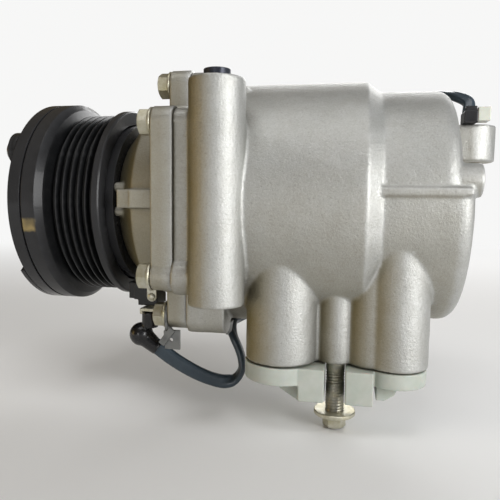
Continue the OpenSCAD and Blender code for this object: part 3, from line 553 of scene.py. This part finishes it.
def lead_mesh():
    """The flat two-core lead: a stadium with a shallow groove between its cores, swept along the route."""
    per, sides = 6, 28      # steps between route points, and corners around the lead
    round_power, groove_depth, groove_width = 0.8, 0.14, 0.16
    rows = [[Vector(p), Vector(f).normalized(), w] for p, f, w in ROUTE]
    path = []
    for i in range(len(rows) - 1):
        a, b = rows[i], rows[i + 1]
        before = rows[i - 1][0] if i else a[0] * 2 - b[0]
        after = rows[i + 2][0] if i + 2 < len(rows) else b[0] * 2 - a[0]
        for s in range(per):
            t = s / per
            p = 0.5 * (2 * a[0] + (b[0] - before) * t + (2 * before - 5 * a[0] + 4 * b[0] - after) * t * t
                       + (3 * a[0] - before - 3 * b[0] + after) * t ** 3)
            path.append((p, a[1].lerp(b[1], t), a[2] + (b[2] - a[2]) * t))
    path.append(tuple(rows[-1]))
    bm = bmesh.new()
    last = None
    for i, (p, face, width) in enumerate(path):
        along = (path[min(i + 1, len(path) - 1)][0] - path[max(i - 1, 0)][0]).normalized()
        wide = along.cross(face).normalized()
        thick = along.cross(wide)
        ring = []
        for k in range(sides):
            a = 2 * math.pi * k / sides
            c, s = math.cos(a), math.sin(a)
            groove = 1 - groove_depth * math.exp(-(c / groove_width) ** 2)
            x = math.copysign(abs(c) ** round_power, c) * width / 2
            y = math.copysign(abs(s) ** round_power, s) * LEAD_T / 2 * groove
            ring.append(bm.verts.new((p + wide * x + thick * y) * MM))
        if last:
            for k in range(sides):
                n = (k + 1) % sides
                bm.faces.new((last[k], last[n], ring[n], ring[k]))
        else:
            bm.faces.new(list(reversed(ring)))
        last = ring
    bm.faces.new(last)
    return mesh_of("lead", bm, 70)


add_piece("flat_lead", lead_mesh(), "coil_lead")

# ---------- castings and mouldings ----------

softened("main_housing", 0.0007, 3, 190000, wander=0.0001)
softened("front_housing", 0.0006, 3, 150000, wander=0.00008)
for node, voxel, rounds, faces in (
        ("lead_boot", 0.0003, 14, 30000), ("coil_terminal", 0.0003, 5, 30000),
        ("suction_cap", 0.0004, 5, 50000), ("discharge_cap", 0.0004, 5, 50000),
        ("lead_connector", 0.00025, 5, 20000), ("connector_lock", 0.00025, 4, 20000)):
    softened(node, voxel, rounds, faces)
softened("damper_pads", 0.0003, 5, 60000, body="shaft")

# ---------- fasteners ----------


def flange(bm, place, r, thick, low=0.0):
    """A washer face with rounded rim, from low up to low + thick."""
    spun(bm, [(0, low), (r - 0.3 * MM, low), (r, low + 0.3 * MM), (r, low + thick - 0.45 * MM),
              (r - 0.5 * MM, low + thick), (0, low + thick)], place)


def bolt_places():
    """y and z of each housing bolt, how far its head sits proud, and whether it is a top corner bolt."""
    out = []
    for a in (66, 35, -31, -61):
        for b in (a, 180 - a):
            y, z = -BOLT_CIRCLE * math.cos(math.radians(b)), BOLT_CIRCLE * math.sin(math.radians(b))
            lift = 1.2 if b == -61 else 0.0     # the zinc tab lies under this one
            out.append((y, z, lift, z > 50))
    return out


def shank(bm, place, length):
    """The part of a bolt below its head, hidden in its hole."""
    r = 3 * MM
    spun(bm, [(0, -length), (r, -length), (r, 0.1 * MM), (0, 0.1 * MM)], place, 24)


bm = bmesh.new()
for y, z, lift, on_corner in bolt_places():
    place = facing((-1, 0, 0), (BOLT_SEAT - lift, y, z), 0.0 if on_corner else math.pi / 6)
    flange(bm, place, 6.3 * MM, 1.4 * MM)
    hex_head(bm, place, 5.0 * MM, 1.2 * MM, 6.0 * MM, 0.35 * MM)
    shank(bm, place, 20.6 * MM)
add_piece("flanged_bolts", mesh_of("flanged_bolts", bm), "housing_bolts")

bm = bmesh.new()
place = facing((-1, 0, 0), (X_HUB, 0, 0))
flange(bm, place, 9 * MM, 1.6 * MM)
hex_head(bm, place, 5.02 * MM, 1.5 * MM, 6.2 * MM, 0.9 * MM)
shank(bm, place, 17.4 * MM)
add_piece("centre_bolt", mesh_of("centre_bolt", bm), "clutch_bolt", "shaft")

low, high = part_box("stud_nut")
bm = bmesh.new()
place = facing((0, 0, -1), (*STUD, high.z / MM), math.pi / 2)
depth = high.z - low.z
flange(bm, place, 8.8 * MM, 2.0 * MM)
hex_head(bm, place, 4.25 * MM, 1.7 * MM, depth, 0.4 * MM)
add_piece("flanged_nut", mesh_of("flanged_nut", bm), "stud_nut")

low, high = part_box("port_stud")
bm = bmesh.new()
place = facing((0, 0, -1), (*STUD, high.z / MM))
full = (high.z - low.z) / MM
NECK, SHARP_END = 19.0, 25.0            # mm along the stud: end of its plain neck and of its unworn thread
PITCH, DEPTH, RISE = 1.25, 0.5, 0.156   # mm: of the thread, and between rings of the mesh


def thread(r, h, a):
    """Radius of the stud's surface: a plain neck, then a helical thread that is worn near the nut."""
    if h < NECK * MM:
        return r
    turn = (h / (PITCH * MM) - a / (2 * math.pi)) % 1
    fade = min(1, (h / MM - NECK) / 1.2) * min(1, max(0, full - 0.4 - h / MM) / 0.8)
    worn = 0.35 if h / MM > SHARP_END else 1.0
    return r - fade * worn * DEPTH * MM * abs(2 * turn - 1)


stud_rings = [(4.0 * MM, h * RISE * MM) for h in range(int(full / RISE) + 1)]
stud_rings = [(0, 0.0)] + stud_rings + [(0, full * MM)]
spun(bm, stud_rings, place, 40, thread)
add_piece("threaded_stud", mesh_of("threaded_stud", bm, 60), "port_stud")

# ---------- floor, light ----------

FLOOR_R = 6.0
CENTRE = (0.08, 0, 0)               # near the middle of the part, where the lamps aim
BACK = (0.93, 0.93, 0.925)          # the white that the floor fades into

floor_mesh = bpy.data.meshes.new("floor")
bm = bmesh.new()
bmesh.ops.create_circle(bm, cap_ends=True, segments=96, radius=FLOOR_R)
bm.to_mesh(floor_mesh)
bm.free()
floor = bpy.data.objects.new("floor", floor_mesh)
scene.collection.objects.link(floor)
floor.location = (CENTRE[0], 0, cad_box[0].z - 0.0005)
k = Kit("floor")
far = k.tree.nodes.new("ShaderNodeVectorMath")
far.operation = "LENGTH"
k.put(k.place, far.inputs[0])
fade = k.span(far.outputs["Value"], 0.25, 1.1, smooth=True)
glow = k.tree.nodes.new("ShaderNodeEmission")
glow.inputs["Color"].default_value = (*BACK, 1)
glow.inputs["Strength"].default_value = 1.0
blend = k.tree.nodes.new("ShaderNodeMixShader")
k.finish((0.80, 0.80, 0.795), 0.8, specular=0.1)
k.put(fade, blend.inputs[0])
k.put(k.shader.outputs[0], blend.inputs[1])
k.put(glow.outputs[0], blend.inputs[2])
k.put(blend.outputs[0], k.out.inputs["Surface"])
floor_mesh.materials.append(k.mat)

world = bpy.data.worlds.new("world")
scene.world = world
world.use_nodes = True
sky = world.node_tree
sky.nodes.clear()


def sky_node(kind, *inputs):
    """A world node with its first inputs set to values or linked to outputs."""
    n = sky.nodes.new(kind)
    for socket, v in zip(n.inputs, inputs):
        if hasattr(v, "links"):
            sky.links.new(v, socket)
        elif v is not None:
            socket.default_value = v
    return n


# the room is warm and dim on the left, pale on the right, and the backdrop is white
way = sky_node("ShaderNodeSeparateXYZ", sky.nodes.new("ShaderNodeTexCoord").outputs["Generated"])
across = sky_node("ShaderNodeMapRange", way.outputs["X"], -0.6, 0.35, 0.0, 1.0)
upward = sky_node("ShaderNodeMapRange", way.outputs["Z"], -0.3, 0.8, 0.55, 1.25)
room = sky.nodes.new("ShaderNodeMix")
room.data_type = "RGBA"
sky.links.new(across.outputs[0], room.inputs[0])
room.inputs[6].default_value = (0.085, 0.058, 0.018, 1)
room.inputs[7].default_value = (0.27, 0.275, 0.285, 1)
lit = sky_node("ShaderNodeBackground", room.outputs[2], upward.outputs[0])
seen = sky_node("ShaderNodeBackground", (*BACK, 1), 1.0)
chosen = sky_node("ShaderNodeMixShader", sky.nodes.new("ShaderNodeLightPath").outputs["Is Camera Ray"],
                  lit.outputs[0], seen.outputs[0])
sky_node("ShaderNodeOutputWorld", chosen.outputs[0])


def lamp(name, at, size, power, color=(1, 1, 1)):
    data = bpy.data.lights.new(name, "AREA")
    data.shape = "RECTANGLE"
    data.size, data.size_y = size
    data.energy = power
    data.color = color
    ob = bpy.data.objects.new(name, data)
    scene.collection.objects.link(ob)
    ob.location = at
    ob.rotation_euler = (Vector(CENTRE) - Vector(at)).to_track_quat("-Z", "Y").to_euler()
    ob.visible_camera = False


lamp("key", (0.95, -0.6, 0.22), (0.4, 0.6), 9.5)
lamp("top", (0.05, -0.35, 0.95), (0.7, 0.4), 2.7)
lamp("front", (-0.15, -0.95, 0.1), (0.25, 0.25), 0.8)
lamp("left", (-0.8, -0.35, 0.0), (0.3, 0.5), 1.0, (1.0, 0.69, 0.24))
lamp("back", (0.2, 0.95, 0.5), (0.8, 0.4), 6.0)
scene.view_settings.view_transform = "Standard"
